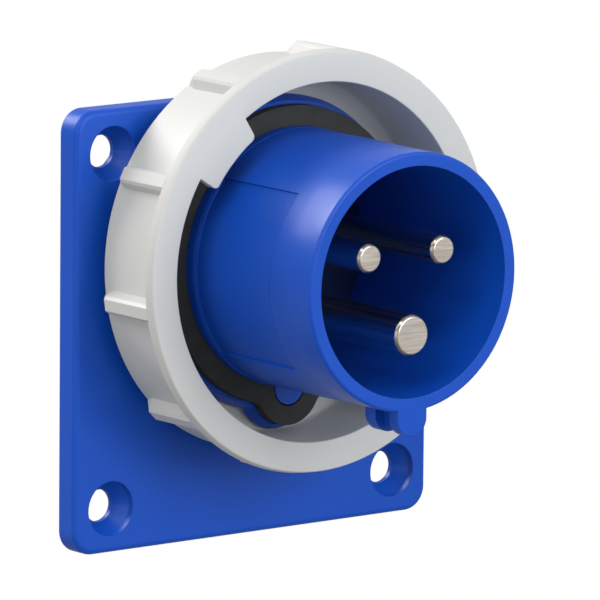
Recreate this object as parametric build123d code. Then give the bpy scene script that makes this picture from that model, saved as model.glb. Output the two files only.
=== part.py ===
from build123d import *
from math import cos, radians, sin
import os

# Three-pole panel inlet with a bayonet locking ring, in millimetres.
# It is drawn in its own drawing space: x to the right, y up and z out of the panel towards the
# plug, with z = 0 on the flange's back face. place() then turns drawing z into the row's -Y.

# Clearances: running fit of the ring, play along its axis, easy fits of moulded pieces
RUN_FIT = 0.08
END_PLAY = 0.12
LOOSE_FIT = 0.08

# Shroud: the tube round the contacts. Its root radius drives every radius about the axis.
SHROUD_ROOT_R = 21.8
SHROUD_DRAFT = 0.12
SHROUD_WALL = 2.42
SHROUD_STEP = 0.15
INNER_SHOULDER = 0.93
SHROUD_MOUTH_R = SHROUD_ROOT_R - SHROUD_DRAFT
SHROUD_BORE_R = SHROUD_ROOT_R - SHROUD_WALL
SHROUD_STEP_R = SHROUD_ROOT_R + SHROUD_STEP
SHOULDER_BORE_R = SHROUD_BORE_R - INNER_SHOULDER
SHROUD_MOUTH = 47.15
SHROUD_TAIL_BEHIND = 1.0
SHROUD_RIM_R = 0.5
DRAFT_LONG = 11.15
MOUTH_LONG = 6.0
STEP_SLOPE = 0.3

# Label field: a shallow recess on the shroud's left flank
LABEL_DEPTH = 0.35
LABEL_FLOOR_R = SHROUD_ROOT_R - LABEL_DEPTH
LABEL_FROM_ANGLE = 136.8
LABEL_TO_ANGLE = 222.3
LABEL_START_GAP = 0.5
LABEL_SHORT = 10.75
LABEL_END = SHROUD_MOUTH - LABEL_SHORT

# Key at six o'clock on the shroud's mouth
KEY_HALF = 3.0
KEY_DROP = 1.0
KEY_CENTRE = SHROUD_ROOT_R + KEY_DROP
KEY_LENGTH = 8.7
KEY_FRONT_PLATE = 2.3
KEY_REAR_PLATE = 2.7
KEY_WEB = 2.0
KEY_WEB_DROP = 1.9
KEY_WEB_R = KEY_CENTRE + KEY_WEB_DROP
KEY_BITE = 0.8

# Round boss and journal that carry the ring
JOURNAL_WALL = 3.6
THRUST_WIDE = 2.6
JOURNAL_R = SHROUD_ROOT_R + JOURNAL_WALL
BOSS_R = JOURNAL_R + THRUST_WIDE
BOSS_TOP = 7.75

# Lock ring in the flange's back
LOCK_WALL = 2.6
LOCK_R = SHROUD_ROOT_R + LOCK_WALL
LOCK_THICK = 2.4
LOCK_NOTCHES = 4
LOCK_NOTCH_WIDE = 3.0
LOCK_NOTCH_DEEP = 1.2
LOCK_NOTCH_HIGH = 1.0

# Flange: a square with a countersunk hole near each corner
FLANGE_SIDE = 75.0
FLANGE_THICK = 4.4
FLANGE_CORNER_R = 4.0
FLANGE_EDGE_R = 1.0
HOLE_INSET = 7.5
HOLE_PITCH = FLANGE_SIDE - 2 * HOLE_INSET
HOLE_R = 2.75
HOLE_STRAIGHT = 1.0
SINK_R = 4.65
SINK_LIP = 1.15

# The inlet's axis stands above the flange's centre, as high as the lock ring's seat allows
LOCK_COVER = 1.75
AXIS_UP = FLANGE_SIDE / 2 - LOCK_R - LOCK_COVER

# Locking ring
RING_BACK = BOSS_TOP + END_PLAY
RING_FLOOR_THICK = 1.33
RING_FLOOR = RING_BACK + RING_FLOOR_THICK
RING_FRONT = 22.8
RING_CHANNEL = 5.14
RING_WALL = 3.96
RING_DRAFT = 0.5
RIB_HIGH = 1.1
RIB_DRAFT = 0.3
BAND_HIGH = 1.25
BAND_LONG = 2.5
RING_BORE_R = JOURNAL_R + RING_CHANNEL
RING_PANEL_R = RING_BORE_R + RING_WALL
RING_RIB_R = RING_PANEL_R + RIB_HIGH
RING_BAND_R = RING_PANEL_R + BAND_HIGH
RING_BAND_BACK = RING_FRONT - BAND_LONG
RING_FRONT_EDGE = 0.5
RING_FLOOR_EDGE = 0.9
RIB_COUNT = 10
RIB_FIRST_ANGLE = 9.0
RIB_TOP_HALF_ANGLE = 2.6
RIB_FOOT_HALF_ANGLE = 5.0
RIB_EDGE = 0.45
RIB_SET_IN = 0.9
RIB_START = RING_BACK + RIB_SET_IN
RIB_BITE = 0.4
RIB_INTO_BAND = 0.6
LUG_ANGLES = (135.0, 315.0)
LUG_HALF_ANGLE = 12.35
LUG_REACH = 4.24
LUG_R = RING_BORE_R - LUG_REACH
LUG_THICK = 1.7
LUG_CORNER = 0.8
LUG_BITE = 0.5

# Travel stop: a tooth in the ring runs in a pocket of the journal
RING_TRAVEL_ANGLE = 30.0
STOP_ANGLE = 90.0
STOP_HALF_ANGLE = 4.0
STOP_PLAY_ANGLE = 0.6
STOP_HIGH = 0.9
STOP_R = JOURNAL_R - STOP_HIGH

# Collar cap, gasket and the bulge round the key's root
CAP_BACK = RING_FLOOR + END_PLAY
CAP_LIP_THICK = 0.88
CAP_HIGH = 2.98
CAP_FLOOR = 1.58
CAP_OVERHANG = 1.4
CAP_LIP_TOP = CAP_BACK + CAP_LIP_THICK
CAP_RIM_TOP = CAP_BACK + CAP_HIGH
CAP_SEAT = CAP_BACK + CAP_FLOOR
CAP_LIP_R = JOURNAL_R + CAP_OVERHANG
CAP_RIM_NARROWING = 0.8
BULGE_DROP = 0.55
BULGE_CENTRE = SHROUD_ROOT_R + BULGE_DROP
BULGE_LIP_R = 7.7
BULGE_CORNER = 1.6
GASKET_R = JOURNAL_R
GASKET_BULGE_R = 6.5
GASKET_THICK = 3.3
GASKET_FACE = CAP_SEAT + GASKET_THICK
KEY_ROOT_GAP = 0.25
SHOULDER_WIDE = 2.2
SHOULDER_R = SHROUD_ROOT_R + SHOULDER_WIDE
SHOULDER_THICK = 1.0
STEP_SHOWS = 1.8
SHROUD_STEP_END = GASKET_FACE + STEP_SHOWS

# Square-cut sealing ring in a groove of the shroud
SEAL_DEPTH = 6.0
SEAL_HALF = 1.0
SEAL_GROOVE = 1.3
SEAL_FLOOR_R = SHROUD_ROOT_R - SEAL_GROOVE

# Contacts: earth at six o'clock, the others 120 degrees to each side
EARTH_R = 3.5
POLE_R = 2.5
EARTH_SHORT = 0.15
POLE_SHORT = 1.85
EARTH_TIP = SHROUD_MOUTH - EARTH_SHORT
POLE_TIP = SHROUD_MOUTH - POLE_SHORT
PIN_CHAMFER = 0.4
PIN_INWARD = 0.79
PIN_PITCH_R = SHROUD_BORE_R / 2 - PIN_INWARD
PINS = {
    "earth": (-90.0, EARTH_R, EARTH_TIP),
    "line": (150.0, POLE_R, POLE_TIP),
    "neutral": (30.0, POLE_R, POLE_TIP),
}

# Each pin has a collar in the carrier, which slopes down to the pin just in front of it
COLLAR_STEP = 0.4
COLLAR_SHOWS = 0.3

# Insulators: the carrier in front of the shroud's inner shoulder, the block and the entry plate
# behind it
CARRIER_BACK = 3.0
CARRIER_FACE = 9.0
CARRIER_BOSS_R = 4.7
CARRIER_BOSS_HIGH = 1.2
BLOCK_FLANGE_INSET = 0.4
BLOCK_FLANGE_R = SHROUD_ROOT_R - BLOCK_FLANGE_INSET
BLOCK_FLANGE_THICK = 2.5
CHAMBER_BEHIND = 12.0
ENTRY_PLATE_THICK = 8.0
ENTRY_R = 3.4

# Terminal barrels with a square conductor tunnel, clamp plate and screw
BARREL_R = 4.6
TUNNEL = 4.4
TUNNEL_BEHIND = 2.0
CLAMP_THICK = 0.6
CLAMP_WIDE = 4.0
CLAMP_LONG = 7.0
TERMINAL_SCREW_BEHIND = 6.5
TERMINAL_SCREW_R = 1.75
TERMINAL_HEAD_R = 2.1
TERMINAL_HEAD_DEEP = 4.25
TERMINAL_HEAD_FROM = SHOULDER_BORE_R - TERMINAL_HEAD_DEEP
TERMINAL_HEAD_HIGH = 2.2
ACCESS_R = 2.35
SLOT_WIDE = 0.8
SLOT_DEEP = 0.9

# Screws that draw the carrier, the block and the entry plate together
BLOCK_SCREW_R = 1.5
BLOCK_SCREW_INSET = 5.25
BLOCK_SCREW_PITCH_R = SHOULDER_BORE_R - BLOCK_SCREW_INSET
BLOCK_SCREW_ANGLES = (90.0, 210.0, 330.0)
BLOCK_SCREW_TIP = 7.4
BLOCK_SCREW_END_GAP = 0.4
BLOCK_HEAD_R = 2.7
BLOCK_HEAD_HIGH = 1.9
BLOCK_HEAD_SEAT_BEHIND = 16.5
BLOCK_HEAD_PLAY = 0.2
CROSS_LONG = 3.4

# Flat gasket behind the flange
PANEL_GASKET_THICK = 1.2
PANEL_GASKET_INSET = 1.5
PANEL_CUT_PLAY = 0.5
PANEL_CUT_R = SHROUD_ROOT_R + PANEL_CUT_PLAY
PANEL_HOLE_PLAY = 1.2

# How far a cutting shape runs past the solid it cuts
PAST = 1.0

STAND_UP = (Align.CENTER, Align.CENTER, Align.MIN)


def place(shape):
    """Drawing space to the row's frame: drawing z becomes -Y, drawing y becomes +Z."""
    return Plane.XZ.location * shape


def on_axis(shape):
    """Moves a shape drawn about the origin onto the inlet's axis."""
    return Pos(0, AXIS_UP, 0) * shape


def disc(radius, low, high):
    return Pos(0, 0, low) * Cylinder(radius, high - low, align=STAND_UP)


def turned(profile):
    """Solid of revolution about z from (radius, z) corners."""
    return revolve(Plane.XZ * make_face(Polyline(*profile, close=True)), axis=Axis.Z)


def polar(radius, angle):
    return (radius * cos(radians(angle)), radius * sin(radians(angle)))


def sector(inner, outer, middle, half):
    """Flat piece of an annulus from middle - half to middle + half degrees."""
    reach = outer / cos(radians(half)) * 1.05
    wedge = make_face(Polyline((0, 0), polar(reach, middle - half), polar(reach, middle),
                               polar(reach, middle + half), close=True))
    return (Circle(outer) - Circle(inner)) & wedge


def slab(face, low, high):
    return extrude(Pos(0, 0, low) * face, amount=high - low)


def bulged(radius, bulge_radius, low, high, narrowing=0.0):
    """Round plug with a second one at six o'clock, the two inner corners rounded."""
    body = Pos(0, 0, low) * Cone(radius, radius - narrowing, high - low, align=STAND_UP) \
        if narrowing else disc(radius, low, high)
    bulge = Cone(bulge_radius, bulge_radius - narrowing, high - low, align=STAND_UP) \
        if narrowing else Cylinder(bulge_radius, high - low, align=STAND_UP)
    body += Pos(0, -BULGE_CENTRE, low) * bulge
    corners = [e for e in body.edges()
               if e.center().Y < -radius / 2 and e.bounding_box().size.Z > (high - low) * 0.9]
    return fillet(corners, BULGE_CORNER)


def make_flange_housing():
    # The disc behind the ring rises above the square's top edge as a round shoulder
    outline = RectangleRounded(FLANGE_SIDE, FLANGE_SIDE, FLANGE_CORNER_R)
    plate = slab(outline, 0, FLANGE_THICK)
    plate = fillet(plate.edges().group_by(Axis.Z)[-1], FLANGE_EDGE_R)
    body = plate + on_axis(disc(BOSS_R, 0, BOSS_TOP) + disc(JOURNAL_R, BOSS_TOP, CAP_BACK))
    body -= on_axis(disc(SHROUD_ROOT_R, -PAST, CAP_BACK + PAST) + disc(LOCK_R, -PAST, LOCK_THICK))
    pocket = sector(STOP_R - LOOSE_FIT, JOURNAL_R + PAST, STOP_ANGLE - RING_TRAVEL_ANGLE / 2,
                    STOP_HALF_ANGLE + STOP_PLAY_ANGLE + RING_TRAVEL_ANGLE / 2)
    body -= on_axis(slab(pocket, BOSS_TOP, CAP_BACK + PAST))
    # Countersinks: a short straight lip, a cone and the through hole
    sink = turned([(0, -PAST), (HOLE_R, -PAST), (HOLE_R, HOLE_STRAIGHT),
                   (SINK_R, FLANGE_THICK - SINK_LIP), (SINK_R, FLANGE_THICK + PAST),
                   (0, FLANGE_THICK + PAST)])
    for x in (-HOLE_PITCH / 2, HOLE_PITCH / 2):
        for y in (-HOLE_PITCH / 2, HOLE_PITCH / 2):
            body -= Pos(x, y, 0) * sink
    return body


def key_section(reach):
    """Round-ended tab that hangs below the shroud, down to reach below the axis."""
    half = KEY_HALF
    centre = reach - half
    stem = centre - SHROUD_BORE_R - KEY_BITE
    return Pos(0, -centre) * Circle(half) + Pos(0, -centre + stem / 2) * Rectangle(2 * half, stem)


def make_shroud():
    shoulder_low = CAP_SEAT - SHOULDER_THICK
    body = turned([
        (SHOULDER_BORE_R, -SHROUD_TAIL_BEHIND), (SHROUD_ROOT_R, -SHROUD_TAIL_BEHIND),
        (SHROUD_ROOT_R, SEAL_DEPTH - SEAL_HALF), (SEAL_FLOOR_R, SEAL_DEPTH - SEAL_HALF),
        (SEAL_FLOOR_R, SEAL_DEPTH + SEAL_HALF), (SHROUD_ROOT_R, SEAL_DEPTH + SEAL_HALF),
        (SHROUD_ROOT_R, shoulder_low), (SHOULDER_R, shoulder_low), (SHOULDER_R, CAP_SEAT),
        (SHROUD_STEP_R, CAP_SEAT), (SHROUD_STEP_R, SHROUD_STEP_END),
        (SHROUD_ROOT_R, SHROUD_STEP_END + STEP_SLOPE),
        (SHROUD_ROOT_R, SHROUD_MOUTH - MOUTH_LONG - DRAFT_LONG),
        (SHROUD_MOUTH_R, SHROUD_MOUTH - MOUTH_LONG), (SHROUD_MOUTH_R, SHROUD_MOUTH),
        (SHROUD_BORE_R, SHROUD_MOUTH), (SHROUD_BORE_R, CARRIER_BACK),
        (SHOULDER_BORE_R, CARRIER_BACK),
    ])
    mouth = body.edges().filter_by(GeomType.CIRCLE).group_by(Axis.Z)[-1].sort_by(SortBy.RADIUS)
    body = fillet(mouth[-1:], SHROUD_RIM_R)
    # Shallow label field on the left flank, from the step to the start of the mouth's taper
    middle = (LABEL_FROM_ANGLE + LABEL_TO_ANGLE) / 2
    half = (LABEL_TO_ANGLE - LABEL_FROM_ANGLE) / 2
    field = sector(LABEL_FLOOR_R, SHROUD_ROOT_R + PAST, middle, half)
    body -= slab(field, SHROUD_STEP_END + LABEL_START_GAP, LABEL_END)
    # Key: two plates joined by a web, hollow between them
    key_back = SHROUD_MOUTH - KEY_LENGTH
    plate = key_section(KEY_CENTRE + KEY_HALF)
    key = slab(plate, SHROUD_MOUTH - KEY_FRONT_PLATE, SHROUD_MOUTH)
    key += slab(plate, key_back, key_back + KEY_REAR_PLATE)
    web_high = KEY_WEB_R - SHROUD_BORE_R - KEY_BITE
    web = Pos(0, -KEY_WEB_R + web_high / 2) * Rectangle(KEY_WEB, web_high)
    key += slab(web, key_back, SHROUD_MOUTH - KEY_FRONT_PLATE / 2)
    return body + key


def make_collar_cap():
    # The lip turns with nothing: it only holds the ring back, and its rim frames the gasket
    cap = disc(CAP_LIP_R, CAP_BACK, CAP_LIP_TOP)
    cap += bulged(CAP_LIP_R, BULGE_LIP_R, CAP_LIP_TOP, CAP_RIM_TOP, CAP_RIM_NARROWING)
    cap -= bulged(GASKET_R, GASKET_BULGE_R, CAP_SEAT, CAP_RIM_TOP + PAST)
    cap += disc(KEY_HALF, CAP_SEAT, GASKET_FACE).moved(Pos(0, -BULGE_CENTRE, 0))
    cap -= disc(SHROUD_ROOT_R, CAP_BACK - PAST, CAP_RIM_TOP + PAST)
    cap -= disc(SHOULDER_R, CAP_SEAT - SHOULDER_THICK, CAP_SEAT)
    cap -= disc(SHROUD_STEP_R, CAP_SEAT, GASKET_FACE + PAST)
    return cap


def make_front_gasket():
    gasket = bulged(GASKET_R, GASKET_BULGE_R, CAP_SEAT, GASKET_FACE)
    gasket -= disc(SHROUD_STEP_R, CAP_SEAT, GASKET_FACE)
    return gasket - Pos(0, -BULGE_CENTRE, 0) * disc(KEY_HALF + KEY_ROOT_GAP, CAP_SEAT, GASKET_FACE)


def make_locking_ring():
    body = turned([
        (JOURNAL_R + RUN_FIT, RING_BACK), (RING_PANEL_R - RING_DRAFT, RING_BACK),
        (RING_PANEL_R, RING_BAND_BACK), (RING_BAND_R, RING_BAND_BACK),
        (RING_BAND_R, RING_FRONT), (RING_BORE_R, RING_FRONT), (RING_BORE_R, RING_FLOOR),
        (JOURNAL_R + RUN_FIT, RING_FLOOR),
    ])
    circles = body.edges().filter_by(GeomType.CIRCLE)
    front_edge = circles.group_by(Axis.Z)[-1].sort_by(SortBy.RADIUS)[-1]
    body = fillet([front_edge], RING_FRONT_EDGE)
    floor_edge = body.edges().filter_by(GeomType.CIRCLE).filter_by(
        lambda e: abs(e.radius - RING_BORE_R) < 0.01 and abs(e.center().Z - RING_FLOOR) < 0.01)
    body = fillet(floor_edge, RING_FLOOR_EDGE)
    # Grip ribs run into the front band, their tops narrow backwards and their edges are rounded
    foot_r = RING_PANEL_R - RING_DRAFT - RIB_BITE
    rib_end = RING_BAND_BACK + RIB_INTO_BAND
    rib_face = make_face(Polyline(
        polar(foot_r, -RIB_FOOT_HALF_ANGLE), polar(RING_BAND_R, -RIB_TOP_HALF_ANGLE),
        polar(RING_BAND_R, RIB_TOP_HALF_ANGLE), polar(foot_r, RIB_FOOT_HALF_ANGLE), close=True))
    tops = turned([(0, RIB_START), (RING_RIB_R - RIB_DRAFT, RIB_START),
                   (RING_RIB_R, rib_end), (0, rib_end)])
    rib = slab(rib_face, RIB_START, rib_end) & tops
    top_face = rib.faces().sort_by(Axis.X)[-1]
    rib = fillet(top_face.edges().sort_by(Axis.Z)[:-1], RIB_EDGE)
    for k in range(RIB_COUNT):
        body += Rot(0, 0, RIB_FIRST_ANGLE + 360 / RIB_COUNT * k) * rib
    # Two lugs flush with the front face catch the plug's ramps
    lug_face = sector(LUG_R, RING_BORE_R + LUG_BITE, 0, LUG_HALF_ANGLE)
    inner = [v for v in lug_face.vertices() if Vector(v.X, v.Y, 0).length < RING_BORE_R]
    lug = slab(fillet(inner, LUG_CORNER), RING_FRONT - LUG_THICK, RING_FRONT)
    for angle in LUG_ANGLES:
        body += Rot(0, 0, angle) * lug
    tooth = sector(STOP_R, JOURNAL_R + RUN_FIT + LUG_BITE, STOP_ANGLE, STOP_HALF_ANGLE)
    return body + slab(tooth, RING_BACK, RING_FLOOR)


def make_shroud_seal():
    low = SEAL_DEPTH - SEAL_HALF
    high = SEAL_DEPTH + SEAL_HALF
    return disc(SHROUD_ROOT_R, low, high) - disc(SEAL_FLOOR_R, low, high)


def make_rear_lock_ring():
    ring = disc(LOCK_R, 0, LOCK_THICK) - disc(SHROUD_ROOT_R, -PAST, LOCK_THICK + PAST)
    notch = Pos(LOCK_R, 0, 0) * Box(2 * LOCK_NOTCH_DEEP, LOCK_NOTCH_WIDE, 2 * LOCK_NOTCH_HIGH)
    for k in range(LOCK_NOTCHES):
        ring -= Rot(0, 0, 45 + 360 / LOCK_NOTCHES * k) * notch
    return ring


def make_contact_carrier():
    body = disc(SHROUD_BORE_R - LOOSE_FIT, CARRIER_BACK, CARRIER_FACE)
    for angle, radius, tip in PINS.values():
        x, y = polar(PIN_PITCH_R, angle)
        body += Pos(x, y, 0) * disc(CARRIER_BOSS_R, CARRIER_FACE, CARRIER_FACE + CARRIER_BOSS_HIGH)
    for angle, radius, tip in PINS.values():
        x, y = polar(PIN_PITCH_R, angle)
        bore = disc(radius + COLLAR_STEP, CARRIER_BACK - PAST, CARRIER_FACE + CARRIER_BOSS_HIGH + PAST)
        body -= Pos(x, y, 0) * bore
    for angle in BLOCK_SCREW_ANGLES:
        x, y = polar(BLOCK_SCREW_PITCH_R, angle)
        body -= Pos(x, y, 0) * disc(BLOCK_SCREW_R, CARRIER_BACK - PAST,
                                    BLOCK_SCREW_TIP + BLOCK_SCREW_END_GAP)
    return body


def radial(shape, angle):
    """Turns a shape drawn along +x, at the terminal screw's height, to a pin's angle."""
    return Rot(0, 0, angle) * Pos(0, 0, -TERMINAL_SCREW_BEHIND) * Rot(0, 90, 0) * shape


def make_terminal_block():
    """Holds the barrels in three chambers that the carrier closes in front."""
    body = disc(SHOULDER_BORE_R, -CHAMBER_BEHIND, CARRIER_BACK)
    body += disc(BLOCK_FLANGE_R, -SHROUD_TAIL_BEHIND - BLOCK_FLANGE_THICK, -SHROUD_TAIL_BEHIND)
    for angle, radius, tip in PINS.values():
        x, y = polar(PIN_PITCH_R, angle)
        body -= Pos(x, y, 0) * disc(BARREL_R, -CHAMBER_BEHIND - PAST, CARRIER_BACK + PAST)
        access = Pos(0, 0, PIN_PITCH_R) * Cylinder(ACCESS_R, SHOULDER_BORE_R, align=STAND_UP)
        body -= radial(access, angle)
    for angle in BLOCK_SCREW_ANGLES:
        x, y = polar(BLOCK_SCREW_PITCH_R, angle)
        body -= Pos(x, y, 0) * disc(BLOCK_SCREW_R, -CHAMBER_BEHIND - PAST, CARRIER_BACK + PAST)
    return body


def make_entry_plate():
    """Closes the chambers behind, with a round entry for each conductor."""
    back = -CHAMBER_BEHIND - ENTRY_PLATE_THICK
    body = disc(SHOULDER_BORE_R, back, -CHAMBER_BEHIND)
    for angle, radius, tip in PINS.values():
        x, y = polar(PIN_PITCH_R, angle)
        body -= Pos(x, y, 0) * disc(ENTRY_R, back - PAST, -CHAMBER_BEHIND + PAST)
    for angle in BLOCK_SCREW_ANGLES:
        x, y = polar(BLOCK_SCREW_PITCH_R, angle)
        body -= Pos(x, y, 0) * disc(BLOCK_SCREW_R, back - PAST, -CHAMBER_BEHIND + PAST)
        head_bore = disc(BLOCK_HEAD_R + BLOCK_HEAD_PLAY, back - PAST, -BLOCK_HEAD_SEAT_BEHIND)
        body -= Pos(x, y, 0) * head_bore
    return body


def make_pin(angle, radius, tip):
    """Contact: round pin in front, terminal barrel with its conductor tunnel behind."""
    collar_r = radius + COLLAR_STEP
    collar_top = CARRIER_FACE + CARRIER_BOSS_HIGH + COLLAR_SHOWS
    pin = turned([
        (0, -CHAMBER_BEHIND), (BARREL_R, -CHAMBER_BEHIND), (BARREL_R, CARRIER_BACK),
        (collar_r, CARRIER_BACK), (collar_r, collar_top), (radius, collar_top + COLLAR_STEP),
        (radius, tip - PIN_CHAMFER), (radius - PIN_CHAMFER, tip), (0, tip),
    ])
    tunnel_long = CHAMBER_BEHIND - TUNNEL_BEHIND + PAST
    tunnel = Box(TUNNEL, TUNNEL, tunnel_long, align=STAND_UP)
    pin -= Pos(0, 0, -CHAMBER_BEHIND - PAST) * tunnel
    thread = Pos(0, 0, PIN_PITCH_R) * Cylinder(TERMINAL_SCREW_R, BARREL_R + PAST, align=STAND_UP)
    return Rot(0, 0, angle) * Pos(PIN_PITCH_R, 0, 0) * pin - radial(thread, angle)


def make_clamp_plate(angle):
    lift = PIN_PITCH_R + TUNNEL / 2 - CLAMP_THICK / 2
    plate = Pos(lift, 0, -TERMINAL_SCREW_BEHIND) * Box(CLAMP_THICK, CLAMP_WIDE, CLAMP_LONG)
    return Rot(0, 0, angle) * plate


def make_terminal_screw(angle):
    foot = PIN_PITCH_R + TUNNEL / 2
    shank = Pos(0, 0, foot) * Cylinder(TERMINAL_SCREW_R, TERMINAL_HEAD_FROM - foot, align=STAND_UP)
    head = Pos(0, 0, TERMINAL_HEAD_FROM) * Cylinder(TERMINAL_HEAD_R, TERMINAL_HEAD_HIGH,
                                                    align=STAND_UP)
    head_top = TERMINAL_HEAD_FROM + TERMINAL_HEAD_HIGH
    slot = Pos(0, 0, head_top) * Box(2 * TERMINAL_HEAD_R + PAST, SLOT_WIDE, 2 * SLOT_DEEP)
    return radial(shank + head - slot, angle)


def make_block_screws():
    screws = Part()
    seat = -BLOCK_HEAD_SEAT_BEHIND
    for angle in BLOCK_SCREW_ANGLES:
        screw = disc(BLOCK_SCREW_R, seat, BLOCK_SCREW_TIP)
        screw += disc(BLOCK_HEAD_R, seat - BLOCK_HEAD_HIGH, seat)
        cross = Box(CROSS_LONG, SLOT_WIDE, 2 * SLOT_DEEP) + Box(SLOT_WIDE, CROSS_LONG, 2 * SLOT_DEEP)
        screw -= Pos(0, 0, seat - BLOCK_HEAD_HIGH) * cross
        x, y = polar(BLOCK_SCREW_PITCH_R, angle)
        screws += Pos(x, y, 0) * screw
    return screws


def make_panel_gasket():
    side = FLANGE_SIDE - 2 * PANEL_GASKET_INSET
    outline = RectangleRounded(side, side, FLANGE_CORNER_R - PANEL_GASKET_INSET)
    outline -= Pos(0, AXIS_UP) * Circle(PANEL_CUT_R)
    for x in (-HOLE_PITCH / 2, HOLE_PITCH / 2):
        for y in (-HOLE_PITCH / 2, HOLE_PITCH / 2):
            outline -= Pos(x, y) * Circle(HOLE_R + PANEL_HOLE_PLAY)
    return slab(outline, -PANEL_GASKET_THICK, 0)


nodes = {
    "flange_housing": make_flange_housing(),
    "panel_gasket": make_panel_gasket(),
    "shroud": on_axis(make_shroud()),
    "collar_cap": on_axis(make_collar_cap()),
    "front_gasket": on_axis(make_front_gasket()),
    "locking_ring": on_axis(make_locking_ring()),
    "shroud_seal": on_axis(make_shroud_seal()),
    "rear_lock_ring": on_axis(make_rear_lock_ring()),
    "contact_carrier": on_axis(make_contact_carrier()),
    "terminal_block": on_axis(make_terminal_block()),
    "entry_plate": on_axis(make_entry_plate()),
    "block_screws": on_axis(make_block_screws()),
}
for name, (angle, radius, tip) in PINS.items():
    nodes[name + "_pin"] = on_axis(make_pin(angle, radius, tip))
    nodes[name + "_clamp_plate"] = on_axis(make_clamp_plate(angle))
    nodes[name + "_terminal_screw"] = on_axis(make_terminal_screw(angle))

os.makedirs("parts", exist_ok=True)
for name, shape in nodes.items():
    export_step(place(shape), "parts/" + name + ".step")
    print(name, "solids", len(shape.solids()), "volume", round(shape.volume, 1))
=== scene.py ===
# %% [markdown]
# This scene dresses a panel inlet for a round three-pole plug: a blue flange and shroud, a white
# locking ring that turns, black gaskets and nickel contacts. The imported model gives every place
# and size in metres, with -Y out of the panel and +Z up, so nothing has to be fitted by eye.

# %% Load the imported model
import bmesh
import bpy
import math
from mathutils import Matrix, Vector


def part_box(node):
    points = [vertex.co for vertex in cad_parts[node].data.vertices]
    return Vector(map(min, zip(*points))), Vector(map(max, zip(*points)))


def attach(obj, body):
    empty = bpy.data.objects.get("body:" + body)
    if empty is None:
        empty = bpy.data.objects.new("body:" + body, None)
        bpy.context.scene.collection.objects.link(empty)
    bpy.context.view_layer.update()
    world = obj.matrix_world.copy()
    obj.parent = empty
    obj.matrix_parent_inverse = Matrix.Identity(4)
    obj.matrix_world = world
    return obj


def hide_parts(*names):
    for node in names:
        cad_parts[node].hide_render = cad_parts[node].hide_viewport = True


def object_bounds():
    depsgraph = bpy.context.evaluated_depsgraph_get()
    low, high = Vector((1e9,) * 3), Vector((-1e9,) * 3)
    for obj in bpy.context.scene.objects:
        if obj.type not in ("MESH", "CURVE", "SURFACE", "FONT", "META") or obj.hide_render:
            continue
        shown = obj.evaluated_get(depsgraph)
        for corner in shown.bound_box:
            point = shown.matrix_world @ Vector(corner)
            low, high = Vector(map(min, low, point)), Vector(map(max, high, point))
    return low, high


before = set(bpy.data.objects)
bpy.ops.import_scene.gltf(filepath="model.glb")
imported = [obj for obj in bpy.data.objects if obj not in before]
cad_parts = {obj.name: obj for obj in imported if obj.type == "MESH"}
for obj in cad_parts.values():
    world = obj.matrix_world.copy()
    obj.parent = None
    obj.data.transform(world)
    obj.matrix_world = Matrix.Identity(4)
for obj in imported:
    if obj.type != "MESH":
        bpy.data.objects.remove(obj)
cad_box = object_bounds()
MM = 0.001
print("model box", cad_box)

# %% [markdown]
# The photograph was taken from far away with a long lens, a little left of the inlet and a
# little above it. A camera is a place and three directions. The place is measured sideways,
# upwards and backwards from the flange's centre, so the view is easy to read and to change.

# %% Camera
VIEW_AZIMUTH = math.radians(-38.08)
VIEW_HEIGHT = math.radians(9.715)
VIEW_ROLL = math.radians(0.514)
VIEW_DISTANCE = 1.5245
VIEW_RIGHT = 0.010394
VIEW_UP = 0.001787
FOCAL_IN_PICTURES = 15.0474
SENSOR_WIDTH = 36.0


def view_axes():
    """Right, up and back directions of the photograph's view."""
    back = Vector((math.sin(VIEW_AZIMUTH) * math.cos(VIEW_HEIGHT),
                   -math.cos(VIEW_AZIMUTH) * math.cos(VIEW_HEIGHT),
                   math.sin(VIEW_HEIGHT)))
    level = Vector((math.cos(VIEW_AZIMUTH), math.sin(VIEW_AZIMUTH), 0))
    above = back.cross(level)
    c, s = math.cos(VIEW_ROLL), math.sin(VIEW_ROLL)
    return level * c + above * s, above * c - level * s, back


def add_camera():
    right, up, back = view_axes()
    data = bpy.data.cameras.new("photo_view")
    data.sensor_width = SENSOR_WIDTH
    data.lens = FOCAL_IN_PICTURES * SENSOR_WIDTH
    camera = bpy.data.objects.new("photo_view", data)
    place = right * VIEW_RIGHT + up * VIEW_UP + back * VIEW_DISTANCE
    camera.matrix_world = Matrix.Translation(place) @ Matrix((right, up, back)).transposed().to_4x4()
    bpy.context.scene.collection.objects.link(camera)
    bpy.context.scene.camera = camera


add_camera()

# %% [markdown]
# A catalogue picture of moulded plastic is lit by large soft lamps, so that round forms show a
# broad highlight and flat ones stay even. Area lamps do this: a weak one above on the left with
# a small bright one beside it, whose mirror image is the sparkle on the contacts' tips, then a
# wide one in front, a little to the right, a faint fill low on the left, and one above and
# behind. The last one draws the bright streaks along the round parts. The powers keep white
# plastic just below pure white.

# %% Lamps
LAMP_TARGET = Vector((0, -0.02, 0.008))


def add_softbox(name, place, size, power, colour):
    data = bpy.data.lights.new(name, "AREA")
    data.shape = "SQUARE"
    data.size = size
    data.energy = power
    data.color = colour
    lamp = bpy.data.objects.new(name, data)
    lamp.location = place
    lamp.rotation_euler = (LAMP_TARGET - Vector(place)).to_track_quat("-Z", "Y").to_euler()
    bpy.context.scene.collection.objects.link(lamp)


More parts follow.
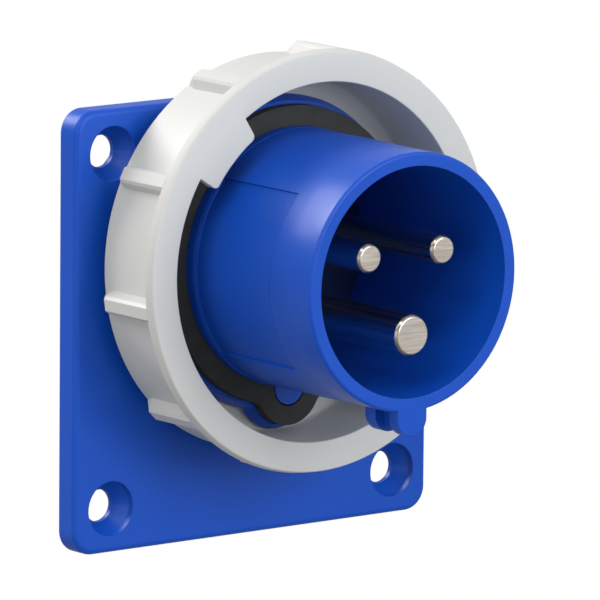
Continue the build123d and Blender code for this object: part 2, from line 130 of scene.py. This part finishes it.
add_softbox("left_softbox", (-0.80, -0.40, 0.76), 0.45, 2.3, (1.0, 0.985, 0.96))
add_softbox("sparkle", (-0.46, -0.72, 0.95), 0.16, 0.9, (1.0, 1.0, 1.0))
add_softbox("front_softbox", (0.34, -1.12, 0.34), 0.8, 7.0, (0.92, 0.96, 1.0))
add_softbox("low_fill", (-1.10, -0.52, 0.02), 0.8, 2.6, (1.0, 0.99, 0.97))
add_softbox("back_softbox", (-0.40, 0.88, 0.69), 0.55, 8.5, (1.0, 0.99, 0.97))

# %% [markdown]
# The background is white, as in a catalogue. Lighting a backdrop until it is white would also
# flood the object, so instead the world is pale only to rays that come from the camera or pass
# through glass, and fainter to mirror-like ones. It is a shade greyer than the floor, which fills
# the main view, and shows only above the horizon in level views. Everything else receives a soft
# light that is dim below and brighter above, as in a room with a white ceiling, so hollows and
# undersides darken. In reflections the world is pale low on the right and dark elsewhere, as a
# studio with one white screen is, and that gives the round contacts their dark sides.

# %% Helpers for the studio
def math_node(tree, operation, *values):
    """A Math node on its inputs, each of which is a socket or a number."""
    node = tree.nodes.new("ShaderNodeMath")
    node.operation = operation
    for socket, value in zip(node.inputs, values):
        if isinstance(value, (int, float)):
            socket.default_value = value
        else:
            tree.links.new(value, socket)
    return node.outputs[0]


def seen_directly(tree, gloss_share):
    """How much a ray should see the pale studio: 1 for the camera, less in a reflection."""
    path = tree.nodes.new("ShaderNodeLightPath").outputs
    direct = math_node(tree, "MAXIMUM", path["Is Camera Ray"], path["Is Transmission Ray"])
    gloss = math_node(tree, "MULTIPLY", path["Is Glossy Ray"], gloss_share)
    return math_node(tree, "MAXIMUM", direct, gloss)


def mixed(tree, factor, first, second):
    mix = tree.nodes.new("ShaderNodeMixShader")
    tree.links.new(factor, mix.inputs[0])
    tree.links.new(first.outputs[0], mix.inputs[1])
    tree.links.new(second.outputs[0], mix.inputs[2])
    return mix


# %% World
LIGHT_BELOW = 0.30
LIGHT_ABOVE = 0.65
SKY_SEEN = 0.8
SEEN_IN_GLOSS = 0.3
DARK_LEFT, BRIGHT_RIGHT = -0.3, 0.4
DARK_TOP, BRIGHT_LOW = 0.7, 0.2


def bright_side(tree, direction):
    """Share of the sky in reflections: the studio is pale low on the right and dark elsewhere."""
    share = SEEN_IN_GLOSS
    for axis, dark_at, bright_at in (("X", DARK_LEFT, BRIGHT_RIGHT), ("Z", DARK_TOP, BRIGHT_LOW)):
        span = tree.nodes.new("ShaderNodeMapRange")
        span.inputs["From Min"].default_value = dark_at
        span.inputs["From Max"].default_value = bright_at
        tree.links.new(direction.outputs[axis], span.inputs["Value"])
        share = math_node(tree, "MULTIPLY", span.outputs["Result"], share)
    return share


def add_world():
    world = bpy.data.worlds.new("studio")
    bpy.context.scene.world = world
    world.use_nodes = True
    tree = world.node_tree
    tree.nodes.clear()
    dim = tree.nodes.new("ShaderNodeBackground")
    direction = tree.nodes.new("ShaderNodeTexCoord")
    split = tree.nodes.new("ShaderNodeSeparateXYZ")
    tree.links.new(direction.outputs["Generated"], split.inputs[0])
    height = tree.nodes.new("ShaderNodeMapRange")
    height.interpolation_type = "SMOOTHSTEP"
    height.inputs["From Min"].default_value = -0.5
    height.inputs["From Max"].default_value = 0.5
    height.inputs["To Min"].default_value = LIGHT_BELOW
    height.inputs["To Max"].default_value = LIGHT_ABOVE
    tree.links.new(split.outputs["Z"], height.inputs["Value"])
    tree.links.new(height.outputs["Result"], dim.inputs["Strength"])
    pale = tree.nodes.new("ShaderNodeBackground")
    pale.inputs["Color"].default_value = (SKY_SEEN, SKY_SEEN, SKY_SEEN, 1)
    pale.inputs["Strength"].default_value = 1.0
    mix = mixed(tree, seen_directly(tree, bright_side(tree, split)), dim, pale)
    out = tree.nodes.new("ShaderNodeOutputWorld")
    tree.links.new(mix.outputs[0], out.inputs[0])
    print(world.name, "light from", LIGHT_BELOW, "to", LIGHT_ABOVE)


add_world()

# %% [markdown]
# The floor lies a little below the inlet. Near the object it stays a lit surface, because a soft
# shadow tells the eye where a thing is. Further out it fades into plain white, and it reaches far
# enough to fill the main view, so no horizon is seen there.

# %% Floor
FLOOR_DROP = 0.11
FLOOR_HALF = 6.0
SHADOW_NEAR = 0.26
SHADOW_FAR = 0.40
FLOOR_BOUNCE = 0.25
FLOOR_SEEN = 0.9
FLOOR_ROUGH = 0.9


def floor_paleness(tree):
    """Pale to the camera, darker as a source of bounced light under the object."""
    path = tree.nodes.new("ShaderNodeLightPath")
    shade = tree.nodes.new("ShaderNodeMapRange")
    shade.inputs["To Min"].default_value = FLOOR_BOUNCE
    shade.inputs["To Max"].default_value = FLOOR_SEEN
    tree.links.new(path.outputs["Is Camera Ray"], shade.inputs["Value"])
    return shade.outputs["Result"]


def floor_material():
    material = bpy.data.materials.new("pale_floor")
    material.use_nodes = True
    tree = material.node_tree
    lit = tree.nodes["Principled BSDF"]
    lit.inputs["Roughness"].default_value = FLOOR_ROUGH
    tree.links.new(floor_paleness(tree), lit.inputs["Base Color"])
    white = tree.nodes.new("ShaderNodeEmission")
    place = tree.nodes.new("ShaderNodeTexCoord")
    reach = tree.nodes.new("ShaderNodeVectorMath")
    reach.operation = "LENGTH"
    tree.links.new(place.outputs["Object"], reach.inputs[0])
    far = tree.nodes.new("ShaderNodeMapRange")
    far.interpolation_type = "SMOOTHSTEP"
    far.inputs["From Min"].default_value = SHADOW_NEAR
    far.inputs["From Max"].default_value = SHADOW_FAR
    tree.links.new(reach.outputs["Value"], far.inputs["Value"])
    share = math_node(tree, "MULTIPLY", far.outputs["Result"], seen_directly(tree, SEEN_IN_GLOSS))
    mix = mixed(tree, share, lit, white)
    tree.links.new(mix.outputs[0], tree.nodes["Material Output"].inputs["Surface"])
    return material


def add_floor():
    low = cad_box[0][2] - FLOOR_DROP
    mesh = bpy.data.meshes.new("floor")
    corners = [(x * FLOOR_HALF, y * FLOOR_HALF, low) for x, y in ((-1, -1), (1, -1), (1, 1), (-1, 1))]
    mesh.from_pydata(corners, [], [(0, 1, 2, 3)])
    mesh.materials.append(floor_material())
    floor = bpy.data.objects.new("floor", mesh)
    bpy.context.scene.collection.objects.link(floor)
    print(floor.name, "at", round(low, 4), "m")


add_floor()
bpy.context.scene.view_settings.view_transform = "Standard"

# %% [markdown]
# Every finish is a small tree of shader nodes, and all of them share a few parts, so those are
# functions. A noise pattern on Object coordinates varies colour and gloss, and because these
# coordinates are in metres its scale is a real size. Real parts also have no perfectly sharp
# edge. A Bevel node turns the normals near an edge, which catches light as a small radius would,
# and leaves the model's mesh alone. A painted picture could do the same, but it would blur in a
# close view, and a pattern never does.

# %% Helpers for materials
BEVEL_SAMPLES = 6
BUMP_STRENGTH = 0.5


def new_material(name):
    material = bpy.data.materials.new(name)
    material.use_nodes = True
    tree = material.node_tree
    place = tree.nodes.new("ShaderNodeTexCoord")
    return material, tree, tree.nodes["Principled BSDF"], place


def noise(tree, place, size, detail=3.0, stretch=(1, 1, 1)):
    """Noise whose blobs are about size metres across, squeezed by stretch along each axis."""
    mapping = tree.nodes.new("ShaderNodeMapping")
    mapping.inputs["Scale"].default_value = stretch
    pattern = tree.nodes.new("ShaderNodeTexNoise")
    pattern.inputs["Scale"].default_value = 1.0 / size
    pattern.inputs["Detail"].default_value = detail
    tree.links.new(place.outputs["Object"], mapping.inputs["Vector"])
    tree.links.new(mapping.outputs["Vector"], pattern.inputs["Vector"])
    return pattern


def between(tree, pattern, low, high):
    """Turns a noise pattern into a value between low and high."""
    span = tree.nodes.new("ShaderNodeMapRange")
    span.inputs["From Min"].default_value = 0.3
    span.inputs["From Max"].default_value = 0.7
    span.inputs["To Min"].default_value = low
    span.inputs["To Max"].default_value = high
    tree.links.new(pattern.outputs[0], span.inputs["Value"])
    return span.outputs["Result"]


def two_tones(tree, pattern, first, second):
    ramp = tree.nodes.new("ShaderNodeValToRGB")
    ramp.color_ramp.elements[0].position = 0.35
    ramp.color_ramp.elements[0].color = (*first, 1)
    ramp.color_ramp.elements[1].position = 0.65
    ramp.color_ramp.elements[1].color = (*second, 1)
    tree.links.new(pattern.outputs[0], ramp.inputs[0])
    return ramp.outputs["Color"]


def add_relief(tree, shader, pattern, height, edge_radius):
    """Fine relief on top of softly rounded edges."""
    soft = tree.nodes.new("ShaderNodeBevel")
    soft.samples = BEVEL_SAMPLES
    soft.inputs["Radius"].default_value = edge_radius
    bump = tree.nodes.new("ShaderNodeBump")
    bump.inputs["Distance"].default_value = height
    bump.inputs["Strength"].default_value = BUMP_STRENGTH
    tree.links.new(pattern.outputs[0], bump.inputs["Height"])
    tree.links.new(soft.outputs["Normal"], bump.inputs["Normal"])
    tree.links.new(bump.outputs["Normal"], shader.inputs["Normal"])


# %% [markdown]
# Moulded plastic is never one flat colour: the pigment varies a little, the spark-eroded mould
# leaves a fine grain, and the gloss follows the grain. Two more touches come from looking at such
# parts. A strong blue throws too much blue on its white neighbour, so the light that it passes on
# is greyer. And the mould of the shroud is polished more towards the mouth, so its roughness
# drops there.

# %% Moulded plastic
CLOUD_SIZE = 14 * MM
GLOSS_PATCH = 4 * MM
GLOSS_SPREAD = 0.03
GRAIN_SIZE = 0.15 * MM
GRAIN_HEIGHT = 0.002 * MM
PLASTIC_EDGE = 0.2 * MM
POLISH = -0.05
POLISH_EDGE = 0.3 * MM


def greyer_when_bounced(tree, colour, bounce):
    """The colour itself, or a greyer one for light that goes on to another surface."""
    path = tree.nodes.new("ShaderNodeLightPath")
    choice = tree.nodes.new("ShaderNodeMix")
    choice.data_type = "RGBA"
    tree.links.new(path.outputs["Is Diffuse Ray"], choice.inputs["Factor"])
    tree.links.new(colour, choice.inputs["A"])
    choice.inputs["B"].default_value = (*bounce, 1)
    return choice.outputs["Result"]


def smoother_past(tree, place, depth, change):
    """Change of roughness that sets in where the piece is further in front than depth."""
    split = tree.nodes.new("ShaderNodeSeparateXYZ")
    tree.links.new(place.outputs["Object"], split.inputs[0])
    step = tree.nodes.new("ShaderNodeMapRange")
    step.inputs["From Min"].default_value = -depth
    step.inputs["From Max"].default_value = -depth - POLISH_EDGE
    step.inputs["To Min"].default_value = 0
    step.inputs["To Max"].default_value = change
    tree.links.new(split.outputs["Y"], step.inputs["Value"])
    return step.outputs["Result"]


def moulded_plastic(name, pale, deep, roughness, specular, bounce=None, polished_past=None):
    material, tree, shader, place = new_material(name)
    cloud = noise(tree, place, CLOUD_SIZE, 2.0)
    colour = two_tones(tree, cloud, deep, pale)
    if bounce:
        colour = greyer_when_bounced(tree, colour, bounce)
    tree.links.new(colour, shader.inputs["Base Color"])
    patches = noise(tree, place, GLOSS_PATCH, 3.0)
    gloss = between(tree, patches, roughness - GLOSS_SPREAD, roughness + GLOSS_SPREAD)
    if polished_past:
        gloss = math_node(tree, "ADD", gloss, smoother_past(tree, place, polished_past, POLISH))
    tree.links.new(gloss, shader.inputs["Roughness"])
    shader.inputs["Specular IOR Level"].default_value = specular
    add_relief(tree, shader, noise(tree, place, GRAIN_SIZE, 2.0), GRAIN_HEIGHT, PLASTIC_EDGE)
    return material


# %% The plastics of this inlet
BLUE_PALE = (0.005, 0.089, 0.60)
BLUE_DEEP = (0.0045, 0.084, 0.57)
BLUE_BOUNCE = (0.11, 0.16, 0.28)
SHROUD_BOUNCE = (0.07, 0.15, 0.42)
POLISHED_PAST = 40 * MM
blue = moulded_plastic("blue_moulding", BLUE_PALE, BLUE_DEEP, 0.38, 0.32, BLUE_BOUNCE)
shroud_blue = moulded_plastic(
    "blue_shroud", BLUE_PALE, BLUE_DEEP, 0.38, 0.32, SHROUD_BOUNCE, POLISHED_PAST)
white = moulded_plastic("ring_white", (0.73, 0.73, 0.715), (0.71, 0.71, 0.695), 0.42, 0.36)
navy = moulded_plastic("navy_insulator", (0.004, 0.018, 0.085), (0.003, 0.015, 0.075), 0.5, 0.3)
charcoal = moulded_plastic("charcoal_insulator", (0.05, 0.05, 0.055), (0.042, 0.042, 0.047), 0.5, 0.4)
print("plastics", [m.name for m in (blue, shroud_blue, white, navy, charcoal)])

# %% [markdown]
# The gaskets are solid black rubber: nearly no gloss, a slightly cloudy bloom on the surface
# and a coarser grain than the plastic has.

# %% Rubber
BLOOM_SIZE = 3 * MM
RUBBER_GRAIN = 0.4 * MM
RUBBER_RELIEF = 0.006 * MM


def soft_rubber(name):
    material, tree, shader, place = new_material(name)
    bloom = noise(tree, place, BLOOM_SIZE, 4.0)
    tones = two_tones(tree, bloom, (0.042, 0.042, 0.040), (0.050, 0.050, 0.047))
    tree.links.new(tones, shader.inputs["Base Color"])
    gloss = between(tree, noise(tree, place, 2 * MM, 3.0), 0.66, 0.76)
    tree.links.new(gloss, shader.inputs["Roughness"])
    shader.inputs["Specular IOR Level"].default_value = 0.3
    add_relief(tree, shader, noise(tree, place, RUBBER_GRAIN, 3.0), RUBBER_RELIEF, PLASTIC_EDGE)
    return material


rubber = soft_rubber("gasket_rubber")
print("rubber", rubber.name)

# %% [markdown]
# The contacts are turned brass with nickel plating. Facing the ends leaves fine level scratches,
# while the sides stay smooth and mirror the dark inside of the shroud. One material does both:
# the scratches are noise squeezed along one direction, so they only show where it is crossed.
# The colour is painted darker on the slanted edge of the tip, as painted shade for its dark
# reflection.

# %% Metal
SCRATCH_SIZE = 0.6 * MM
SCRATCH_DEPTH = 0.0015 * MM
ALONG_X = (0.12, 0.02, 2.4)
CONTACT_EDGE = 0.45 * MM
SCREW_EDGE = 0.1 * MM
CHAMFER_FROM, CHAMFER_TO = 0.22, 0.90
CHAMFER_FADE = 0.1


def painted_chamfer_shade(tree, place, colour, share):
    """The colour on the end faces and the sides, and a share of it on slanted faces between, which is
    painted shade: a dark reflection painted on the tip's edge.
    """
    split = tree.nodes.new("ShaderNodeSeparateXYZ")
    tree.links.new(place.outputs["Normal"], split.inputs[0])
    slant = math_node(tree, "ABSOLUTE", split.outputs["Y"])
    # Painted shade: slanted faces of the tip get only a share of the colour, a painted dark
    # reflection.
    ramp = tree.nodes.new("ShaderNodeValToRGB")
    ramp.color_ramp.elements[0].color = (1, 1, 1, 1)
    for position, level in ((CHAMFER_FROM - CHAMFER_FADE, 1.0), (CHAMFER_FROM, share),
                            (CHAMFER_TO, share), (CHAMFER_TO + 0.7 * CHAMFER_FADE, 1.0)):
        ramp.color_ramp.elements.new(position).color = (level, level, level, 1)
    tree.links.new(slant, ramp.inputs[0])
    shaded = tree.nodes.new("ShaderNodeVectorMath")
    shaded.operation = "MULTIPLY"
    tree.links.new(colour, shaded.inputs[0])
    tree.links.new(ramp.outputs["Color"], shaded.inputs[1])
    return shaded.outputs["Vector"]


def turned_metal(name, colour, roughness, stretch, edge_radius, chamfer_shade_share=1.0):
    material, tree, shader, place = new_material(name)
    shader.inputs["Metallic"].default_value = 1.0
    streaks = noise(tree, place, SCRATCH_SIZE, 3.0, stretch)
    pale = tuple(min(1.0, c * 1.06) for c in colour)
    deep = tuple(c * 0.86 for c in colour)
    tones = two_tones(tree, streaks, deep, pale)
    tree.links.new(painted_chamfer_shade(tree, place, tones, chamfer_shade_share), shader.inputs["Base Color"])
    gloss = between(tree, streaks, roughness - 0.05, roughness + 0.05)
    tree.links.new(gloss, shader.inputs["Roughness"])
    add_relief(tree, shader, streaks, SCRATCH_DEPTH, edge_radius)
    return material


# The tips' slanted edges keep half the colour: painted shade standing in for a dark reflection.
nickel = turned_metal("nickel_plate", (0.82, 0.745, 0.66), 0.2, ALONG_X, CONTACT_EDGE, 0.5)
zinc = turned_metal("zinc_screws", (0.62, 0.63, 0.66), 0.3, (1.0, 1.0, 1.0), SCREW_EDGE)
print("finishes", [m.name for m in bpy.data.materials])

# %% [markdown]
# The white locking ring is one moulding that turns about the inlet's axis. Its box in the model
# already says where that axis is and how large the ring is, so nothing is measured again.

# %% Places of the ring
ring_low, ring_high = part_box("locking_ring")
AXIS_UP = (ring_low[2] + ring_high[2]) / 2
RING_R = (ring_high[0] - ring_low[0]) / 2
RING_FRONT = -ring_low[1]
RING_BACK = -ring_high[1]
print("axis height", round(AXIS_UP / MM, 2), "ring radius", round(RING_R / MM, 2), "mm")


def on_ring(radius, angle, depth):
    """A point at a radius and an angle about the inlet's axis, depth in front of the panel."""
    return (radius * math.cos(angle), -depth, AXIS_UP + radius * math.sin(angle))


# %% [markdown]
# Meshes that follow a rule are best built in code, point by point, with bmesh. A closed outline,
# the section, is repeated at many angles and neighbours are joined by faces. Each corner of the
# section first gets a few extra points on a small arc, which is what gives a moulded edge its
# line of light. A Bevel modifier could round the edges too, but here every corner has a radius of
# its own. Faces are shaded smooth, and edges with a clear angle are marked as sharp.

# %% Helpers for turned meshes
CORNER_STEPS = 4
SHARP_ANGLE = math.radians(24)
LARGEST_SHARE = 0.45
SAME_PLACE = 1e-7


def rounded_corner(before, corner, after, radius):
    """Points on the arc that replaces one corner of a section."""
    p, a, b = Vector(corner), Vector(before) - Vector(corner), Vector(after) - Vector(corner)
    shorter = min(a.length, b.length)
    if radius < 1e-6 or shorter < 1e-6:
        return [tuple(p)] * (CORNER_STEPS + 1)
    half = a.angle(b) / 2
    radius = min(radius, LARGEST_SHARE * shorter * math.tan(half))
    cut = radius / math.tan(half)
    start = p + a.normalized() * cut
    end = p + b.normalized() * cut
    centre = p + (a.normalized() + b.normalized()).normalized() * (radius / math.sin(half))
    points = []
    for k in range(CORNER_STEPS + 1):
        t = k / CORNER_STEPS
        arm = (start - centre).lerp(end - centre, t)
        points.append(tuple(centre + arm.normalized() * radius))
    return points


def rounded_section(corners, radii):
    points = []
    for i, corner in enumerate(corners):
        before, after = corners[i - 1], corners[(i + 1) % len(corners)]
        points += rounded_corner(before, corner, after, radii[i])
    return points


def mesh_piece(name, bm, material):
    """Makes an object at the origin from a bmesh, with smooth faces and crisp corners."""
    bmesh.ops.remove_doubles(bm, verts=bm.verts, dist=SAME_PLACE)
    bmesh.ops.dissolve_degenerate(bm, edges=bm.edges, dist=SAME_PLACE)
    bmesh.ops.recalc_face_normals(bm, faces=bm.faces)
    for edge in bm.edges:
        if len(edge.link_faces) == 2:
            edge.smooth = edge.calc_face_angle(0) < SHARP_ANGLE
    for face in bm.faces:
        face.smooth = True
    mesh = bpy.data.meshes.new(name)
    bm.to_mesh(mesh)
    bm.free()
    mesh.materials.append(material)
    piece = bpy.data.objects.new(name, mesh)
    bpy.context.scene.collection.objects.link(piece)
    print(name, len(mesh.polygons), "faces")
    return piece


def closed_band(sections):
    """Joins equal closed loops of points, one after another and round to the first again."""
    bm = bmesh.new()
    loops = [[bm.verts.new(p) for p in section] for section in sections]
    for i, loop in enumerate(loops):
        following = loops[(i + 1) % len(loops)]
        for j in range(len(loop)):
            k = (j + 1) % len(loop)
            bm.faces.new((loop[j], loop[k], following[k], following[j]))
    return bm


# %% [markdown]
# The ring has a drafted wall, a front band that stands proud of it, a channel for the plug's
# collar inside, and two lugs that catch the plug. It is a turned form apart from the lugs, so one
# section in radius and depth is repeated round the axis, and where a lug is, the same section
# reaches further in. A lug's sides need columns very close together, or they would lean, and its
# corners need a few more. That keeps the ring one closed skin, as one moulding is.

# %% Sizes of the ring
JOURNAL_BORE_R = 25.48 * MM
CHANNEL_R = RING_R - 5.4 * MM
PANEL_R = RING_R - 2.0 * MM
PANEL_DRAFT = 0.2 * MM
SKIRT_R = RING_R - 5.5 * MM
SKIRT_BACK = RING_BACK - 1.2 * MM
CHANNEL_FLOOR = RING_BACK + 1.33 * MM
BAND_BACK = RING_FRONT - 1.75 * MM
BAND_DRAFT = 0.35 * MM
LUG_R = CHANNEL_R - 4.05 * MM
LUG_BACK = RING_FRONT - 1.7 * MM
LUG_HALF = math.radians(12.35)
LUG_CORNER = 0.8 * MM
LUG_MIDDLES = [math.radians(a) for a in (135, 315)]
STOP_TOOTH_R = 24.5 * MM
STOP_HALF = math.radians(4.0)
STOP_MIDDLE = math.radians(90)
RING_COLUMNS = 288
LUG_COLUMNS = 8
LUG_SIDE_GAP = 0.0002
LUG_CLEAR = 0.002
LUG_CORNER_TURNS = (0, 22.5, 45, 67.5, 90)
RING_RADII = [r * MM for r in (0.1, 0.2, 0.2, 0.6, 0.3, 0.05, 0.3, 0.2, 0.2, 0.0, 0.9, 0.15)]
print("wall", round(PANEL_R / MM, 2), "band", round((RING_FRONT - BAND_BACK) / MM, 2), "mm")


# %% Locking ring body
def ring_section(inner_r, angle):
    """Section of the ring at one angle, where inner_r is the reach of a lug or the channel."""
    corners = [(JOURNAL_BORE_R, RING_BACK), (SKIRT_R, RING_BACK), (SKIRT_R, SKIRT_BACK),
               (PANEL_R - PANEL_DRAFT, SKIRT_BACK), (PANEL_R, BAND_BACK), (RING_R, BAND_BACK),
               (RING_R - BAND_DRAFT, RING_FRONT), (inner_r, RING_FRONT),
               (inner_r, LUG_BACK), (CHANNEL_R, LUG_BACK),
               (CHANNEL_R, CHANNEL_FLOOR), (JOURNAL_BORE_R, CHANNEL_FLOOR)]
    points = rounded_section(corners, RING_RADII)
    return [on_ring(r, angle, depth) for r, depth in points]


def ring_columns():
    """Angle and inner reach of each section, with pairs of columns where a lug starts and ends."""
    columns = []
    for k in range(RING_COLUMNS):
        angle = 2 * math.pi * k / RING_COLUMNS
        if all(abs(angle - middle) > LUG_HALF + LUG_CLEAR for middle in LUG_MIDDLES):
            columns.append((angle, CHANNEL_R))
    for middle in LUG_MIDDLES:
        inner_half = LUG_HALF - LUG_CORNER / LUG_R
        for side in (-1, 1):
            columns.append((middle + side * (LUG_HALF + LUG_SIDE_GAP), CHANNEL_R))
            for t in LUG_CORNER_TURNS:
                turn = math.radians(t)
                along = LUG_HALF - LUG_CORNER / LUG_R * (1 - math.cos(turn))
                columns.append((middle + side * along, LUG_R + LUG_CORNER * (1 - math.sin(turn))))
        for k in range(-LUG_COLUMNS, LUG_COLUMNS + 1):
            columns.append((middle + inner_half * k / (LUG_COLUMNS + 1), LUG_R))
    return sorted(columns)


locking_ring_body = mesh_piece(
    "locking_ring_body", closed_band([ring_section(r, a) for a, r in ring_columns()]), white)

# %% [markdown]
# A tooth on the bore runs in a slot of the journal and ends the ring's travel. It is a block bent
# round the axis, and it sinks a little into the ring's bore, so no gap opens between the two.

# %% Travel stop tooth inside the ring
def arc_block(inner, outer, middle, half, low, high, steps=8):
    """Solid piece of an annulus, for a tooth that the section can't carry."""
    bm = bmesh.new()
    sections = []
    for k in range(steps + 1):
        angle = middle - half + 2 * half * k / steps
        corners = ((inner, low), (outer, low), (outer, high), (inner, high))
        sections.append([bm.verts.new(on_ring(r, angle, depth)) for r, depth in corners])
    for first, second in zip(sections, sections[1:]):
        for j in range(4):
            bm.faces.new((first[j], first[(j + 1) % 4], second[(j + 1) % 4], second[j]))
    bm.faces.new(sections[0])
    bm.faces.new(reversed(sections[-1]))
    return bm


ring_stop_tooth = mesh_piece("ring_stop_tooth", arc_block(
    STOP_TOOTH_R, JOURNAL_BORE_R + 0.5 * MM, STOP_MIDDLE, STOP_HALF, RING_BACK, CHANNEL_FLOOR), white)

# %% [markdown]
# Ten grip ribs stand on the ring's wall. They are all alike, so one rib is drawn and a Geometry
# Nodes tree sets the copies round the axis. The tree's inputs are the number of copies and the
# angle of the first one, so another ring could carry more ribs. Real geometry is needed in the
# end, because the export can't carry instances, so the tree ends in Realize Instances.

# %% Geometry Nodes tree that sets copies round the axis
def new_copies_tree():
    tree = bpy.data.node_groups.new("copies_round_axis", "GeometryNodeTree")
    for name, kind in (("Geometry", "Geometry"), ("Count", "Int"), ("First Angle", "Float"),
                       ("Axis Height", "Float"), ("Material", "Material")):
        tree.interface.new_socket(name, in_out="INPUT", socket_type="NodeSocket" + kind)
    tree.interface.new_socket("Geometry", in_out="OUTPUT", socket_type="NodeSocketGeometry")
    return tree


def turn_of_each_copy(tree, given):
    """Rotation of a copy from its index: equal steps round Y, from the first angle on."""
    index = tree.nodes.new("GeometryNodeInputIndex")
    step = math_node(tree, "DIVIDE", 2 * math.pi, given.outputs["Count"])
    turn = math_node(tree, "MULTIPLY_ADD", index.outputs[0], step, given.outputs["First Angle"])
    rotation = tree.nodes.new("ShaderNodeCombineXYZ")
    # Turning about +Y runs the other way round from the angle as seen from the front
    tree.links.new(math_node(tree, "MULTIPLY", turn, -1), rotation.inputs["Y"])
    return rotation.outputs[0]


def copies_tree():
    tree = new_copies_tree()
    nodes, links = tree.nodes, tree.links
    given = nodes.new("NodeGroupInput")
    points = nodes.new("GeometryNodePoints")
    links.new(given.outputs["Count"], points.inputs["Count"])
    copies = nodes.new("GeometryNodeInstanceOnPoints")
    links.new(points.outputs[0], copies.inputs["Points"])
    links.new(given.outputs["Geometry"], copies.inputs["Instance"])
    links.new(turn_of_each_copy(tree, given), copies.inputs["Rotation"])
    height = nodes.new("ShaderNodeCombineXYZ")
    links.new(given.outputs["Axis Height"], height.inputs["Z"])
    lift = nodes.new("GeometryNodeTransform")
    links.new(copies.outputs[0], lift.inputs["Geometry"])
    links.new(height.outputs[0], lift.inputs["Translation"])
    real = nodes.new("GeometryNodeRealizeInstances")
    links.new(lift.outputs[0], real.inputs[0])
    finish = nodes.new("GeometryNodeSetMaterial")
    links.new(real.outputs[0], finish.inputs["Geometry"])
    links.new(given.outputs["Material"], finish.inputs["Material"])
    out = nodes.new("NodeGroupOutput")
    links.new(finish.outputs[0], out.inputs[0])
    return tree


COPIES = copies_tree()
print(COPIES.name, len(COPIES.nodes), "nodes")

# %% [markdown]
# The tree runs as a modifier on the one piece that is drawn. A modifier's input has to be set by
# the socket's identifier, because its name is only a label. The evaluated result is then taken as
# a plain mesh, and the pattern it came from is removed.

# %% Using the tree
def copied_round_axis(name, pattern, count, first_angle, material):
    """Sets count copies of a pattern, drawn about the world's Y axis, round the inlet's axis."""
    modifier = pattern.modifiers.new("copies", "NODES")
    modifier.node_group = COPIES
    values = {"Count": count, "First Angle": first_angle, "Axis Height": AXIS_UP, "Material": material}
    for item in COPIES.interface.items_tree:
        if item.in_out == "INPUT" and item.name in values:
            modifier[item.identifier] = values[item.name]
    graph = bpy.context.evaluated_depsgraph_get()
    mesh = bpy.data.meshes.new_from_object(pattern.evaluated_get(graph))
    mesh.name = name
    bpy.data.objects.remove(pattern)
    piece = bpy.data.objects.new(name, mesh)
    bpy.context.scene.collection.objects.link(piece)
    print(name, count, "copies,", len(mesh.polygons), "faces")
    return piece


# %% [markdown]
# A grip rib has steep sides, a narrow facet along each top edge, and a back end that slopes down
# to the wall, so that the ring leaves its mould. It is swept from a few sections whose top sinks
# towards the back. The front end goes just into the band, which is as high as the rib, so the two
# read as one moulding. The tree then sets ten of them round the ring.

# %% One grip rib, and ten of them
RIB_COUNT = 10
RIB_FIRST = math.radians(9)
RIB_TOP_R = RING_R
RIB_FOOT_R = PANEL_R - 0.5 * MM
RIB_TOP_HALF = 1.0 * MM
RIB_FACET = 0.5 * MM
RIB_SIDE_SLOPE = 0.27
RIB_NARROWING = 0.1
RIB_START = SKIRT_BACK + 0.5 * MM
RIB_END = BAND_BACK + 0.1 * MM
RIB_SLOPE_LONG = 2.3 * MM
RIB_LOW = 1.9 * MM
RIB_SLOPE_STEPS = 6


def rib_section(depth, inset):
    """Six points of the rib's outline at one depth: steep sides, two facets and a flat top."""
    top, facet = RIB_TOP_R - inset, RIB_TOP_R - inset - RIB_FACET
    half_top = RIB_TOP_HALF - RIB_NARROWING * inset
    half_facet = half_top + RIB_FACET
    half_foot = half_facet + (facet - RIB_FOOT_R) * RIB_SIDE_SLOPE
    side = [(RIB_FOOT_R, half_foot), (facet, half_facet), (top, half_top)]
    outline = [(r, -w) for r, w in side] + [(r, w) for r, w in reversed(side)]
    return [(r, -depth, w) for r, w in outline]


def grip_rib():
    """A bar along the ring's wall whose back end slopes down, drawn about the Y axis."""
    sections = []
    for k in range(RIB_SLOPE_STEPS + 1):
        t = k / RIB_SLOPE_STEPS
        sections.append(rib_section(RIB_START + RIB_SLOPE_LONG * t, RIB_LOW * (1 - t)))
    sections.append(rib_section(RIB_END, 0))
    bm = bmesh.new()
    loops = [[bm.verts.new(p) for p in section] for section in sections]
    for first, second in zip(loops, loops[1:]):
        for j in range(len(first)):
            k = (j + 1) % len(first)
            bm.faces.new((first[j], first[k], second[k], second[j]))
    bm.faces.new(loops[0])
    bm.faces.new(reversed(loops[-1]))
    return mesh_piece("rib_pattern", bm, white)


ring_grip_ribs = copied_round_axis("ring_grip_ribs", grip_rib(), RIB_COUNT, RIB_FIRST, white)
for piece in (locking_ring_body, ring_stop_tooth, ring_grip_ribs):
    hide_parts("locking_ring")
    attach(piece, "ring")

# %% [markdown]
# Most CAD nodes are already the right shape, so each one only gets its finish. Assigning to
# the object's material slots leaves its mesh as the model gave it.

# %% Dress the nodes that stay
FINISHES = {
    "flange_housing": blue, "shroud": shroud_blue, "collar_cap": blue, "locking_ring": white,
    "front_gasket": rubber, "panel_gasket": rubber, "shroud_seal": rubber,
    "rear_lock_ring": charcoal, "contact_carrier": navy, "terminal_block": charcoal,
    "entry_plate": charcoal, "block_screws": zinc,
}
for contact in ("earth", "line", "neutral"):
    FINISHES[contact + "_pin"] = nickel
    FINISHES[contact + "_clamp_plate"] = zinc
    FINISHES[contact + "_terminal_screw"] = zinc

for node, finish in FINISHES.items():
    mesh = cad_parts[node].data
    if mesh.materials:
        mesh.materials[0] = finish
    else:
        mesh.materials.append(finish)
